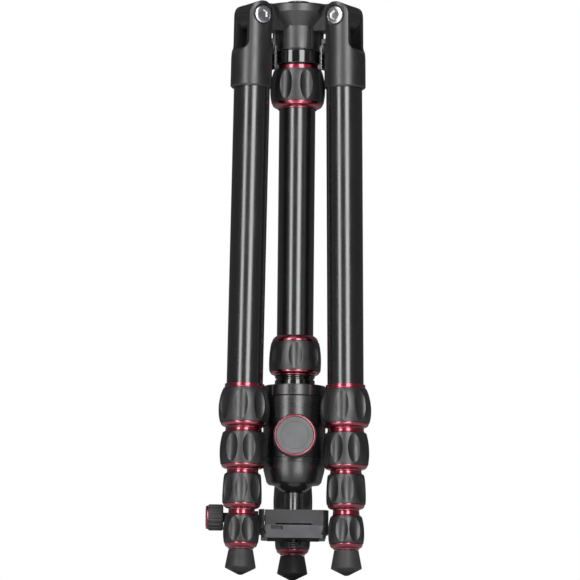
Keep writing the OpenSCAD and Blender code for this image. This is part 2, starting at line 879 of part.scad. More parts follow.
module head_housing() {
    groove_top = head_body_top - head_band_h;
    color("#2c2d2f")
        difference() {
            union() {
                rotate_extrude()
                    polygon([
                        [0, collar_top], [head_r, collar_top], [head_r, groove_top - head_groove_h],
                        [head_r - head_groove_depth, groove_top - head_groove_h],
                        [head_r - head_groove_depth, groove_top], [head_r, groove_top],
                        [head_r, head_body_top - edge], [head_r - edge, head_body_top], [0, head_body_top]
                    ]);
                translate([0, head_wall - head_r, main_knob_z])
                    rotate([90, 0, 0])
                        cylinder(r = knob_boss_r, h = head_wall + knob_boss_out);
            }
            translate([0, 0, collar_top - over])
                cylinder(r = head_r - head_wall, h = head_ceiling - collar_top + over);
            translate([0, 0, head_ceiling - over])
                cylinder(r = pan_spigot_r + slide_gap, h = head_body_top - head_ceiling + 2 * over);
            translate([0, 0, main_knob_z])
                rotate([90, 0, 0])
                    cylinder(r = knob_shaft_r + pin_gap, h = 2 * head_r);
            translate([0, 0, pan_knob_z])
                rotate([0, 90, pan_knob_turn])
                    cylinder(r = pan_screw_r + pin_gap, h = 2 * head_r);
        }
}

module head_collar() {
    band_r = head_r - head_groove_depth;
    color("#303133")
        difference() {
            rotate_extrude()
                polygon([
                    [0, collar_bottom], [collar_end_r, collar_bottom], [collar_low_r, collar_low_z],
                    [head_r - edge, collar_taper_z], [head_r, collar_band_z],
                    [band_r, collar_band_z], [band_r, collar_band_z + edge],
                    [head_r, collar_band_z + edge], [head_r, collar_top - edge],
                    [head_r - edge, collar_top], [0, collar_top]
                ]);
            translate([0, 0, ball_z])
                sphere(r = ball_r + turn_gap);
            translate([0, 0, ball_z])
                cylinder(r = ball_r + turn_gap, h = collar_top - ball_z + over);
        }
}

module ball_cup() {
    color("#d9d7cf")
        difference() {
            translate([0, 0, cup_bottom])
                cylinder(r = head_r - head_wall - turn_gap, h = cup_top - cup_bottom);
            translate([0, 0, ball_z])
                sphere(r = ball_r + turn_gap);
        }
}

module ball() {
    color("#3c3d40")
        translate([0, 0, ball_z])
            sphere(r = ball_r);
}

module ball_stem() {
    color("#3c3d40")
        difference() {
            translate([0, 0, clamp_z + clamp_t + glue_gap])
                cylinder(r = stem_r, h = stem_socket - clamp_z - clamp_t);
            translate([0, 0, ball_z])
                sphere(r = ball_r + turn_gap);
        }
}

module fluted_disc(r, h, flute_r, depth, count) {
    difference() {
        cylinder(r = r, h = h);
        for (j = [0 : count - 1])
            rotate([0, 0, j * 360 / count])
                translate([r + flute_r - depth, 0, -over])
                    cylinder(r = flute_r, h = h + 2 * over, $fn = 32);
    }
}

module main_knob() {
    back = head_r + knob_boss_out + slide_gap;
    ring_r = main_knob_r - knob_ring_in;
    front = main_knob_t - knob_ring_h;
    translate([0, 0, main_knob_z])
        rotate([90, 0, 0]) {
            color("#252628")
                union() {
                    translate([0, 0, back])
                        fluted_disc(main_knob_r, front, knob_flute_r, knob_flute_depth, knob_flute_count);
                    translate([0, 0, knob_shaft_in])
                        cylinder(r = knob_shaft_r, h = back - knob_shaft_in + over);
                }
            color("#a8183a")
                translate([0, 0, back + front])
                    ring(ring_r, ring_r - knob_ring_w, knob_ring_h);
            color("#868789")
                translate([0, 0, back + front])
                    cylinder(r = ring_r - knob_ring_w - glue_gap, h = knob_ring_h - knob_disc_drop);
        }
}

module pan_knob() {
    start = head_r + slide_gap;
    color("#252628")
        translate([0, 0, pan_knob_z])
            rotate([0, 90, pan_knob_turn])
                union() {
                    translate([0, 0, start])
                        fluted_disc(pan_knob_r, pan_knob_l,
                            small_flute_r, small_flute_depth, small_flute_count);
                    translate([0, 0, pan_screw_in])
                        cylinder(r = pan_screw_r, h = start - pan_screw_in + over);
                }
}

// Clamp
// Dovetail side of a jaw: the face that holds the plate's edge, drawn for the side x > 0
module lip_outline() {
    low = clamp_z - clamp_lip_drop;
    wide = dovetail_half + slide_gap;
    narrow = wide - dovetail_slope;
    polygon([
        [wide, clamp_z], [wide, plate_z + plate_t - dovetail_edge_h], [narrow, plate_z + dovetail_h],
        [narrow, low + edge], [narrow + edge, low], [clamp_half_w - edge, low], [clamp_half_w, low + edge],
        [clamp_half_w, clamp_z]
    ]);
}

module clamp_body() {
    jaw_x = jaw_t - clamp_half_w + slide_gap;
    color("#4c4d50")
        difference() {
            union() {
                translate([0, 0, clamp_z])
                    linear_extrude(height = clamp_t)
                        rounded(clamp_half_w, clamp_half_l, clamp_corner);
                intersection() {
                    upright(2 * clamp_half_l)
                        lip_outline();
                    translate([0, 0, clamp_z - clamp_lip_drop - over])
                        linear_extrude(height = clamp_lip_drop + 2 * over)
                            rounded(clamp_half_w, clamp_half_l, clamp_corner);
                }
            }
            translate([-clamp_half_w - over, -clamp_half_l - over, clamp_z - over])
                cube([jaw_x + clamp_half_w + over, 2 * (clamp_half_l + over), clamp_t + 2 * over]);
            translate([-clamp_recess_w / 2, -clamp_half_l - over, clamp_z - over])
                cube([clamp_recess_w, 2 * (clamp_half_l + over), clamp_recess_depth + over]);
            translate([jaw_x - over, 0, clamp_axis_z])
                rotate([0, 90, 0])
                    cylinder(r = clamp_screw_r + pin_gap, h = clamp_screw_l + 2 * over);
        }
}

module clamp_jaw() {
    color("#4c4d50")
        difference() {
            union() {
                intersection() {
                    translate([-clamp_half_w, -jaw_half_l, clamp_z - plate_gap / 2])
                        cube([jaw_t, 2 * jaw_half_l, clamp_t + plate_gap / 2 + jaw_rise]);
                    linear_extrude(height = clamp_z + clamp_t + jaw_rise)
                        rounded(clamp_half_w, jaw_half_l, jaw_corner);
                }
                intersection() {
                    mirror([1, 0, 0])
                        upright(2 * jaw_half_l)
                            lip_outline();
                    linear_extrude(height = clamp_z + clamp_t)
                        rounded(clamp_half_w, jaw_half_l, jaw_corner);
                }
            }
            translate([-clamp_half_w - over, 0, clamp_axis_z])
                rotate([0, 90, 0])
                    cylinder(r = clamp_screw_r + slide_gap, h = jaw_t + 2 * over);
        }
}

module clamp_knob() {
    knob_in = clamp_knob_reach - clamp_knob_l;
    rim_l = clamp_knob_l - clamp_cap_h;
    translate([0, 0, clamp_axis_z])
        rotate([0, -90, 0]) {
            color("#3c3d3f")
                union() {
                    translate([0, 0, knob_in])
                        fluted_disc(clamp_knob_r, rim_l,
                            small_flute_r, small_flute_depth, small_flute_count);
                    translate([0, 0, clamp_half_w + face_gap])
                        cylinder(r = clamp_shaft_r, h = knob_in - clamp_half_w);
                    translate([0, 0, clamp_half_w + face_gap])
                        cylinder(r = clamp_collar_r, h = clamp_collar_l);
                    translate([0, 0, clamp_half_w - clamp_screw_l])
                        cylinder(r = clamp_screw_r, h = clamp_screw_l + over);
                }
            color("#a8183a")
                translate([0, 0, knob_in + rim_l])
                    cylinder(r = clamp_knob_r - 2 * edge, h = clamp_cap_h);
        }
}

// Place of the plate in the clamp
module in_clamp() {
    translate([0, plate_shift, 0])
        children();
}

module plate_outline() {
    top = plate_z + plate_t;
    right = [
        [flange_half - edge, plate_z], [flange_half, plate_z + edge], [flange_half, plate_z + flange_t],
        [neck_half, plate_z + flange_t], [neck_half, plate_z + dovetail_h],
        [dovetail_half, top - dovetail_edge_h], [dovetail_half, top]
    ];
    polygon([
        each right,
        for (j = [len(right) - 1 : -1 : 0]) [-right[j][0], right[j][1]]
    ]);
}

module quick_plate() {
    top = plate_z + plate_t;
    pocket_w = pad_half_w + glue_gap;
    pocket_l = pad_half_l + glue_gap;
    pocket_depth = pad_t - pad_stand + glue_gap;
    color("#77787b")
        in_clamp()
            difference() {
                intersection() {
                    upright(2 * plate_half_l)
                        plate_outline();
                    linear_extrude(height = top + over)
                        rounded(flange_half, plate_half_l, plate_corner);
                }
                translate([0, 0, plate_z - over])
                    cylinder(r = screw_r + screw_hole_gap, h = plate_t + 2 * over);
                translate([0, 0, screw_head_z - face_gap])
                    cylinder(r = screw_head_r + slide_gap, h = plate_t);
                translate([-pocket_w, -pocket_l, plate_z - over])
                    cube([2 * pocket_w, 2 * pocket_l, over + pocket_depth]);
                translate([plate_notch_x, -plate_half_l - over, top - plate_notch_drop - plate_notch_h])
                    cube([plate_notch_w, over + plate_notch_in, plate_notch_h]);
            }
}

module plate_pad() {
    color("#1c1d1f")
        in_clamp()
            difference() {
                translate([-pad_half_w, -pad_half_l, plate_z - pad_stand])
                    cube([2 * pad_half_w, 2 * pad_half_l, pad_t]);
                translate([0, 0, plate_z - pad_stand - over])
                    cylinder(r = pad_hole_r, h = pad_t + 2 * over);
            }
}

module camera_screw() {
    slot_z = screw_head_z + screw_head_h - screw_slot_depth;
    low = plate_z - pad_stand - screw_out;
    color("#d0d1d4")
        in_clamp()
            difference() {
                union() {
                    translate([0, 0, low])
                        cylinder(r = screw_r, h = screw_out);
                    translate([0, 0, low])
                        cylinder(r = screw_neck_r, h = screw_head_z + over - low);
                    translate([0, 0, screw_head_z])
                        cylinder(r = screw_head_r, h = screw_head_h);
                }
                translate([-screw_head_r - over, -screw_slot_w / 2, slot_z])
                    cube([2 * (screw_head_r + over), screw_slot_w, screw_slot_depth + over]);
            }
}

crown();
column_seat();
hinge_bolts();
shoulder(0);  // shoulder_a
angle_stop(0);  // angle_stop_a
leg_tube(0, 0);  // leg_tube_1_a
leg_tube(0, 1);  // leg_tube_2_a
leg_tube(0, 2);  // leg_tube_3_a
leg_tube(0, 3);  // leg_tube_4_a
leg_tube(0, 4);  // leg_tube_5_a
foot(0);  // foot_a
leg_lock(0, 0);  // leg_lock_1_a
leg_lock(0, 1);  // leg_lock_2_a
leg_lock(0, 2);  // leg_lock_3_a
leg_lock(0, 3);  // leg_lock_4_a
shoulder(1);  // shoulder_b
angle_stop(1);  // angle_stop_b
leg_tube(1, 0);  // leg_tube_1_b
leg_tube(1, 1);  // leg_tube_2_b
leg_tube(1, 2);  // leg_tube_3_b
leg_tube(1, 3);  // leg_tube_4_b
leg_tube(1, 4);  // leg_tube_5_b
foot(1);  // foot_b
leg_lock(1, 0);  // leg_lock_1_b
leg_lock(1, 1);  // leg_lock_2_b
leg_lock(1, 2);  // leg_lock_3_b
leg_lock(1, 3);  // leg_lock_4_b
shoulder(2);  // shoulder_c
angle_stop(2);  // angle_stop_c
leg_tube(2, 0);  // leg_tube_1_c
leg_tube(2, 1);  // leg_tube_2_c
leg_tube(2, 2);  // leg_tube_3_c
leg_tube(2, 3);  // leg_tube_4_c
leg_tube(2, 4);  // leg_tube_5_c
foot(2);  // foot_c
leg_lock(2, 0);  // leg_lock_1_c
leg_lock(2, 1);  // leg_lock_2_c
leg_lock(2, 2);  // leg_lock_3_c
leg_lock(2, 3);  // leg_lock_4_c
column_lock_1();
column_tube();
column_cap();
column_hook();
column_lock_2();
column_post();
head_foot_ring();
pan_base();
head_housing();
head_collar();
ball_cup();
ball();
ball_stem();
main_knob();
pan_knob();
clamp_body();
clamp_jaw();
clamp_knob();
quick_plate();
plate_pad();
camera_screw();
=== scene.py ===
import json
import math
import bpy
from mathutils import Matrix, Vector


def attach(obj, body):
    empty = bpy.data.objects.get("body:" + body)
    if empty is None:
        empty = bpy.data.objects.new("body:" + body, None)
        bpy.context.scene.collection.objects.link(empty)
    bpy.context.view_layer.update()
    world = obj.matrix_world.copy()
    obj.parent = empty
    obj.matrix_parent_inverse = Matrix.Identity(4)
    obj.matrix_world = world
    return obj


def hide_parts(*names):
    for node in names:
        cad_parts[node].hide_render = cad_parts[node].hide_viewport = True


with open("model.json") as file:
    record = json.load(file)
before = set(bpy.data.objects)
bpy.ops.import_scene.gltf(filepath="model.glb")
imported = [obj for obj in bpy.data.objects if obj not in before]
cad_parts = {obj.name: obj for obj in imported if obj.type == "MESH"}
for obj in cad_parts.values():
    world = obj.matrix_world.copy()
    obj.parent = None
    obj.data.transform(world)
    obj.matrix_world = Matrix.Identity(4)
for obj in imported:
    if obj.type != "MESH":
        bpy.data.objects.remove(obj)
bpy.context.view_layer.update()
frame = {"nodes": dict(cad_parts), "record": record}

bodyOf = {node: body for body, nodes in frame["record"]["behaviour"]["bodies"].items() for node in nodes}
mm = 0.001
print("frame loaded")

# materials

# the lighter edge colour of a finish stands for rubbed wear and also for a painted highlight along its edges
finishes = {
    "tubeBlack": dict(
        color=(0.0045, 0.0047, 0.0053), rough=0.22, roughSpread=0.03, grain=45, tint=0.25,
        bump=0.0012, bumpGrain=900, ior=2.0,
    ),
    "gripRubber": dict(
        color=(0.011, 0.0114, 0.0128), rough=0.36, roughSpread=0.05, grain=160, tint=0.3, bump=0.02,
        bumpGrain=2600, ior=1.8,
    ),
    "footRubber": dict(
        color=(0.043, 0.044, 0.046), rough=0.5, roughSpread=0.08, grain=160, tint=0.25, bump=0.05,
        bumpGrain=2200, ior=1.5,
    ),
    "crimsonAlloy": dict(
        color=(0.36, 0.006, 0.042), rough=0.3, roughSpread=0.05, grain=120, tint=0.12, bump=0.003,
        bumpGrain=1800, metal=1.0, coat=2.0, coatRough=0.14, rubAndEdgeHighlight=0.25, rubAndEdgeHighlightTone=(0.6, 0.06, 0.12),
    ),
    "castBlack": dict(
        color=(0.0065, 0.0067, 0.0075), rough=0.37, roughSpread=0.04, grain=90, tint=0.25,
        bump=0.014, bumpGrain=1700, ior=1.9, rubAndEdgeHighlight=0.5, rubAndEdgeHighlightTone=(0.1, 0.101, 0.105),
    ),
    "headBlack": dict(
        color=(0.0065, 0.0067, 0.0075), rough=0.28, roughSpread=0.04, grain=90, tint=0.25,
        bump=0.012, bumpGrain=1900, ior=1.9, rubAndEdgeHighlight=0.45, rubAndEdgeHighlightTone=(0.09, 0.091, 0.095),
    ),
    "glossBlack": dict(
        color=(0.0035, 0.0036, 0.0042), rough=0.09, roughSpread=0.03, grain=80, tint=0.2,
        bump=0.002, bumpGrain=700, ior=1.9,
    ),
    "ballBlack": dict(
        color=(0.014, 0.0143, 0.0155), rough=0.2, roughSpread=0.04, grain=100, tint=0.2, bump=0.003,
        bumpGrain=1500, ior=2.0,
    ),
    "boltBright": dict(
        color=(0.8, 0.8, 0.82), rough=0.24, roughSpread=0.07, grain=300, tint=0.08, bump=0.006,
        bumpGrain=1800, metal=1.0,
    ),
    "screwDark": dict(
        color=(0.2, 0.2, 0.205), rough=0.27, roughSpread=0.06, grain=300, tint=0.15, bump=0.006,
        bumpGrain=1800, metal=1.0,
    ),
    "stopGrey": dict(
        color=(0.42, 0.422, 0.43), rough=0.3, roughSpread=0.07, grain=300, tint=0.12, bump=0.008,
        bumpGrain=2200, metal=1.0,
    ),
    "clampGrey": dict(
        color=(0.052, 0.0525, 0.055), rough=0.4, roughSpread=0.06, grain=220, tint=0.2, bump=0.014,
        bumpGrain=2600, metal=0.35, rubAndEdgeHighlight=0.6, rubAndEdgeHighlightTone=(0.36, 0.362, 0.37),
    ),
    "plateGrey": dict(
        color=(0.1, 0.101, 0.105), rough=0.4, roughSpread=0.06, grain=220, tint=0.16, bump=0.014,
        bumpGrain=2600, metal=0.35, rubAndEdgeHighlight=0.6, rubAndEdgeHighlightTone=(0.46, 0.46, 0.47),
    ),
    "knobBlack": dict(
        color=(0.012, 0.0123, 0.0135), rough=0.38, roughSpread=0.06, grain=150, tint=0.25,
        bump=0.02, bumpGrain=2200, ior=1.7,
    ),
    "discGrey": dict(
        color=(0.14, 0.142, 0.145), rough=0.5, roughSpread=0.05, grain=260, tint=0.1, bump=0.01,
        bumpGrain=2600, metal=0.2,
    ),
    "padBlack": dict(
        color=(0.009, 0.009, 0.01), rough=0.7, roughSpread=0.08, grain=200, tint=0.3, bump=0.08,
        bumpGrain=1800, ior=1.45,
    ),
    "ivoryPlastic": dict(
        color=(0.6, 0.58, 0.52), rough=0.45, roughSpread=0.06, grain=150, tint=0.08, bump=0.01,
        bumpGrain=1500, ior=1.5,
    ),
}


def makeFinish(name, look):
    mat = bpy.data.materials.new(name)
    mat.use_nodes = True
    nodes, links = mat.node_tree.nodes, mat.node_tree.links
    shader = nodes["Principled BSDF"]
    shader.inputs["Metallic"].default_value = look.get("metal", 0.0)
    shader.inputs["IOR"].default_value = look.get("ior", 1.5)
    if "coat" in look:  # the index of the clear layer over the dye
        shader.inputs["Coat Weight"].default_value = 1.0
        shader.inputs["Coat IOR"].default_value = look["coat"]
        shader.inputs["Coat Roughness"].default_value = look["coatRough"]
    place = nodes.new("ShaderNodeTexCoord")

    def noise(scale, detail):
        tex = nodes.new("ShaderNodeTexNoise")
        tex.inputs["Scale"].default_value = scale
        tex.inputs["Detail"].default_value = detail
        links.new(place.outputs["Object"], tex.inputs["Vector"])
        return tex.outputs["Fac"]

    def ranged(source, low, high, toLow, toHigh):
        node = nodes.new("ShaderNodeMapRange")
        for key, value in (("From Min", low), ("From Max", high), ("To Min", toLow), ("To Max", toHigh)):
            node.inputs[key].default_value = value
        links.new(source, node.inputs["Value"])
        return node.outputs["Result"]

    cloud = noise(look["grain"], 4)  # uneven sheen, as handling leaves it
    sheen = ranged(cloud, 0.3, 0.7, look["rough"] - look["roughSpread"], look["rough"] + look["roughSpread"])
    links.new(sheen, shader.inputs["Roughness"])

    ramp = nodes.new("ShaderNodeValToRGB")  # slight drift of the colour
    for stop, part in zip(ramp.color_ramp.elements, (1 - look["tint"], 1 + look["tint"])):
        stop.color = [min(1, c * part) for c in look["color"]] + [1]
    ramp.color_ramp.elements[0].position = 0.3
    ramp.color_ramp.elements[1].position = 0.7
    links.new(noise(look["grain"] * 0.45, 3), ramp.inputs["Fac"])
    color = ramp.outputs["Color"]
    if "rubAndEdgeHighlight" in look:  # edges painted lighter in patches: partly rubbed wear, partly a painted highlight along edges
        rounded = nodes.new("ShaderNodeBevel")
        rounded.samples = 4
        rounded.inputs["Radius"].default_value = 0.35 * mm
        surface = nodes.new("ShaderNodeNewGeometry")
        facing = nodes.new("ShaderNodeVectorMath")
        facing.operation = "DOT_PRODUCT"
        links.new(rounded.outputs["Normal"], facing.inputs[0])
        links.new(surface.outputs["Normal"], facing.inputs[1])
        edge = ranged(facing.outputs["Value"], 0.995, 0.86, 0, look["rubAndEdgeHighlight"])
        patchy = nodes.new("ShaderNodeMath")
        patchy.operation = "MULTIPLY"
        links.new(edge, patchy.inputs[0])
        links.new(ranged(noise(look["grain"] * 4, 3), 0.3, 0.6, 0.35, 1), patchy.inputs[1])
        # mixes the lighter edge colour in: rubbed wear and painted edge highlight
        blend = nodes.new("ShaderNodeMix")
        blend.data_type = "RGBA"
        links.new(patchy.outputs[0], blend.inputs["Factor"])
        links.new(color, blend.inputs["A"])
        blend.inputs["B"].default_value = (*look["rubAndEdgeHighlightTone"], 1)
        color = blend.outputs["Result"]
    links.new(color, shader.inputs["Base Color"])

    bump = nodes.new("ShaderNodeBump")
    bump.inputs["Strength"].default_value = 1.0
    bump.inputs["Distance"].default_value = look["bump"] * mm
    links.new(noise(look["bumpGrain"], 3), bump.inputs["Height"])
    links.new(bump.outputs["Normal"], shader.inputs["Normal"])
    return mat


paint = {name: makeFinish(name, look) for name, look in finishes.items()}
print("finishes made:", len(paint))

# workshop

weldGap = 1e-6  # points nearer than this are one point, metres
overrun = 1.0  # how far a cutter stands past what it cuts, at least, mm
fit = 0.02  # between a tube and a ring on it, mm


def clearSelection():
    if bpy.context.object and bpy.context.object.mode != "OBJECT":
        bpy.ops.object.mode_set(mode="OBJECT")
    bpy.ops.object.select_all(action="DESELECT")


def takeUp(obj):
    clearSelection()
    obj.select_set(True)
    bpy.context.view_layer.objects.active = obj


def turned(name, outline, sides=96, closed=True):
    # a lathe: one circle is extruded ring by ring along the outline of (radius, height)
    clearSelection()
    radius, height = outline[0]
    bpy.ops.mesh.primitive_circle_add(vertices=sides, radius=radius * mm, location=(0, 0, height * mm))
    obj = bpy.context.object
    obj.name = name
    bpy.ops.object.transform_apply(location=True, rotation=True, scale=True)
    bpy.ops.object.mode_set(mode="EDIT")
    bpy.ops.mesh.select_all(action="SELECT")
    path = list(outline) + ([outline[0]] if closed else [])
    for (r0, z0), (r1, z1) in zip(path, path[1:]):
        bpy.ops.mesh.extrude_region_move(TRANSFORM_OT_translate={"value": (0, 0, (z1 - z0) * mm)})
        if r1 != r0:
            bpy.ops.transform.resize(value=(r1 / r0, r1 / r0, 1), center_override=(0, 0, z1 * mm))
    bpy.ops.mesh.select_all(action="SELECT")
    bpy.ops.mesh.remove_doubles(threshold=weldGap)
    if not closed:
        bpy.ops.mesh.fill_holes(sides=0)
    bpy.ops.mesh.normals_make_consistent(inside=False)
    bpy.ops.object.mode_set(mode="OBJECT")
    return obj


def drawn(name, outline, low, high):
    # an outline of (x, y) drawn by extruding one point, filled, and drawn out from low to high along z
    clearSelection()
    bpy.ops.mesh.primitive_plane_add(size=mm)
    obj = bpy.context.object
    obj.name = name
    bpy.ops.object.mode_set(mode="EDIT")
    bpy.ops.mesh.select_all(action="SELECT")
    bpy.ops.mesh.merge(type="CENTER")
    bpy.ops.transform.translate(value=(outline[0][0] * mm, outline[0][1] * mm, low * mm))
    path = list(outline) + [outline[0]]
    for (x0, y0), (x1, y1) in zip(path, path[1:]):
        step = ((x1 - x0) * mm, (y1 - y0) * mm, 0)
        bpy.ops.mesh.extrude_region_move(TRANSFORM_OT_translate={"value": step})
    bpy.ops.mesh.select_all(action="SELECT")
    bpy.ops.mesh.remove_doubles(threshold=weldGap)
    bpy.ops.mesh.edge_face_add()
    bpy.ops.mesh.extrude_region_move(TRANSFORM_OT_translate={"value": (0, 0, (high - low) * mm)})
    bpy.ops.mesh.select_all(action="SELECT")
    bpy.ops.mesh.normals_make_consistent(inside=False)
    bpy.ops.object.mode_set(mode="OBJECT")
    return obj


def ranModifier(obj, kind, **values):
    takeUp(obj)
    mod = obj.modifiers.new(kind, kind)
    for key, value in values.items():
        setattr(mod, key, value)
    bpy.ops.object.modifier_apply(modifier=mod.name)


def combined(obj, operation, *tools):
    clearSelection()
    for tool in tools:
        tool.select_set(True)
    bpy.context.view_layer.objects.active = tools[0]
    if len(tools) > 1:
        bpy.ops.object.join()
    tool = bpy.context.view_layer.objects.active
    ranModifier(obj, "BOOLEAN", operation=operation, object=tool, solver="EXACT")
    bpy.data.objects.remove(tool, do_unlink=True)
    return obj


def softEdges(obj, width, angle=30, segments=2):
    ranModifier(obj, "BEVEL", width=width * mm, limit_method="ANGLE", angle_limit=math.radians(angle),
                segments=segments, use_clamp_overlap=True)


def smooth(obj, angle=35):
    takeUp(obj)
    bpy.ops.object.shade_smooth_by_angle(angle=math.radians(angle))


def finished(obj, bevel, bevelAngle=30, angle=38, segments=2):
    if bevel:
        softEdges(obj, bevel, bevelAngle, segments)
    smooth(obj, angle)
    ranModifier(obj, "WEIGHTED_NORMAL", weight=60, keep_sharp=True)
    return obj


def moved(obj, matrix):
    takeUp(obj)
    obj.matrix_world = matrix @ obj.matrix_world
    bpy.ops.object.transform_apply(location=True, rotation=True, scale=True)
    return obj


def shifted(x, y, z):
    return Matrix.Translation((x * mm, y * mm, z * mm))


def rotated(degrees, axis):
    return Matrix.Rotation(math.radians(degrees), 4, axis)


def copyOf(obj, name):
    twin = obj.copy()
    twin.data = obj.data.copy()
    twin.name = name
    bpy.context.scene.collection.objects.link(twin)
    return twin


def cylinder(radius, low, high, sides=64):
    clearSelection()
    bpy.ops.mesh.primitive_cylinder_add(vertices=sides, radius=radius * mm, depth=(high - low) * mm,
                                        location=(0, 0, (low + high) / 2 * mm))
    return bpy.context.object


def block(low, high):
    clearSelection()
    bpy.ops.mesh.primitive_cube_add(size=1, location=[(a + b) / 2 * mm for a, b in zip(low, high)])
    bpy.context.object.scale = [(b - a) * mm for a, b in zip(low, high)]
    bpy.ops.object.transform_apply(location=True, rotation=True, scale=True)
    return bpy.context.object


def fluteCutters(knob, low, high, sides):
    # rods stood round a knob, each cutting one flute into its rim
    reach = knob["radius"] + knob["fluteRadius"] - knob["fluteDepth"]
    rods = []
    for j in range(knob["flutes"]):
        turn = rotated(360 / knob["flutes"] * j, "Z") @ shifted(reach, 0, 0)
        rods.append(moved(cylinder(knob["fluteRadius"], low, high, sides), turn))
    return rods


def handOver(obj, node, finish, stands=True):
    # the piece rides with the CAD node's body; where stands is true it takes the node's place
    obj.data.materials.clear()
    obj.data.materials.append(paint[finish])
    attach(obj, bodyOf[node])
    if stands:
        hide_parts(node)
    return obj


def copiedNode(node, name, bevel=0.25, angle=28, segments=2):
    # a copy of the CAD node, cleaned into whole faces and given soft edges
    source = frame["nodes"][node]
    clearSelection()
    obj = source.copy()
    obj.data = source.data.copy()
    obj.parent = None
    obj.matrix_world = Matrix.Identity(4)
    obj.name = name
    obj.hide_render = False
    bpy.context.scene.collection.objects.link(obj)
    takeUp(obj)
    bpy.ops.mesh.customdata_custom_splitnormals_clear()
    bpy.ops.object.mode_set(mode="EDIT")
    bpy.ops.mesh.select_all(action="SELECT")
    bpy.ops.mesh.remove_doubles(threshold=2e-6)
    bpy.ops.mesh.dissolve_limited(angle_limit=math.radians(0.5))
    bpy.ops.object.mode_set(mode="OBJECT")
    return finished(obj, bevel, angle, 35, segments)


# legs

leg = {
    "turns": {"a": 210, "b": 330, "c": 90},  # degrees round the column
    "hingeRadius": 31.9,
    "splay": 0.85,  # outward slant of a folded leg, degrees
    "length": 341.5,
    "tubeRadii": [11, 9.5, 8, 6.5, 5],
    "tubeWall": 0.8,
}
hingeHeight = leg["length"] * math.cos(math.radians(leg["splay"]))


def legPlace(which, spin=0):
    return (
        rotated(leg["turns"][which], "Z")
        @ shifted(leg["hingeRadius"], 0, hingeHeight)
        @ rotated(-leg["splay"], "Y")
        @ shifted(0, 0, -leg["length"])
        @ rotated(spin, "Z")
    )


locks = {
    "lengths": [20.4, 19.2, 17.7, 16.1],
    "radii": [15.6, 14.2, 12.3, 10.95],
    "topRadii": [12.9, 12.6, 11, 9.6],
    "gaps": [6.3, 6, 7.6, 3.8],
    "skirts": [3.6, 3.6, 3.9, 3.6],
    "bulge": 0.4,  # share of the length at which a grip is widest
    "footTop": 15.2,
    "fluteDepth": 1.7,
    "fluteRadius": 7.5,
    "fluteShare": 0.455,  # half the flute's length, of the grip's
    "flutes": 8,
    "turns": {"a": [8, 30, 12, 36], "b": [20, 5, 33, 14], "c": [0, 18, 40, 10]},
    "gap": 0.2,
    "colletRoom": 1.15,
    "colletSeat": 1.4,
    "nutStep": 5,
    "topRing": 2.9,
    "collarWall": 0.5,
    "tubeEnd": 5.2,  # a tube's lower end, above its grip's base
}


def gripBase(k):
    return locks["footTop"] + sum(locks["gaps"][k:]) + sum(locks["lengths"][k + 1:]) + locks["gap"]


def bulgeArc(length, widest, top):
    rise, drop = length * (1 - locks["bulge"]), widest - top
    return (rise * rise + drop * drop) / (2 * drop)


def bulgeRadius(height, widest, arc):
    return widest - arc + math.sqrt(arc * arc - height * height)


def gripPiece(name, base, length, widest, top, inner, sides=160):
    arc = bulgeArc(length, widest, top)

    def skin(height):
        return bulgeRadius(height - length * locks["bulge"], widest, arc)

    steps = 14
    outline = [(inner, base)]
    outline += [(skin(length * j / steps), base + length * j / steps) for j in range(steps + 1)]
    outline.append((inner, base + length))
    obj = turned(name, outline, sides)
    reach = widest + locks["fluteRadius"] - locks["fluteDepth"]
    half = length * locks["fluteShare"]
    spindle = []
    for j in range(-11, 12):  # two steps past the flute's ends, at 9
        share = j / 9
        height = length / 2 + half * share
        surface = skin(min(max(height, 0), length))
        spindle.append((reach - surface + locks["fluteDepth"] * (1 - share * share), base + height))
    cutter = turned("flute", spindle, 72, closed=False)
    for first in (0, 1):  # neighbours are cut apart, as they may touch
        spots = [rotated(360 / locks["flutes"] * j, "Z") @ shifted(reach, 0, 0)
                 for j in range(first, locks["flutes"], 2)]
        combined(obj, "DIFFERENCE", *[moved(copyOf(cutter, "flute"), spot) for spot in spots])
    bpy.data.objects.remove(cutter, do_unlink=True)
    return finished(obj, 0.3, 20, 40, 3)


def nutOutline(base, length, skirt, core, boreTop, bore, skirtHigh, waist):
    drop = skirt - waist
    # shares of the drop in radius and of the skirt's height
    flare = [(0.0, 0.0), (0.02, 0.18), (0.08, 0.34), (0.18, 0.48), (0.33, 0.6), (0.52, 0.69),
             (0.75, 0.75), (0.95, 0.79), (1.0, 0.84), (1.0, 1.0)]
    room, seat = bore + locks["colletRoom"], base + locks["colletSeat"]
    outline = [(boreTop, base + locks["nutStep"]), (boreTop, base + length), (core, base + length)]
    outline.append((core, base))
    outline += [(skirt - drop * a, base - skirtHigh * b) for a, b in flare]
    outline += [(bore, base - skirtHigh), (bore, seat), (room, seat), (room, base + locks["nutStep"])]
    return outline


collet = {"thick": 0.9, "low": 1.6, "high": 4.8, "slit": 0.8}


def colletPiece(name, bore, base):
    thick, low, high, slit = collet["thick"], base + collet["low"], base + collet["high"], collet["slit"]
    obj = turned(name, [(bore, low), (bore + thick, low), (bore + thick, high), (bore, high)], 72)
    combined(obj, "DIFFERENCE", block((0, -slit / 2, base), (bore + 2 * thick, slit / 2, high + overrun)))
    return finished(obj, 0.1)


def waistRadius(k):
    return leg["tubeRadii"][k + 1] + 1.5 if k < 3 else 7.83


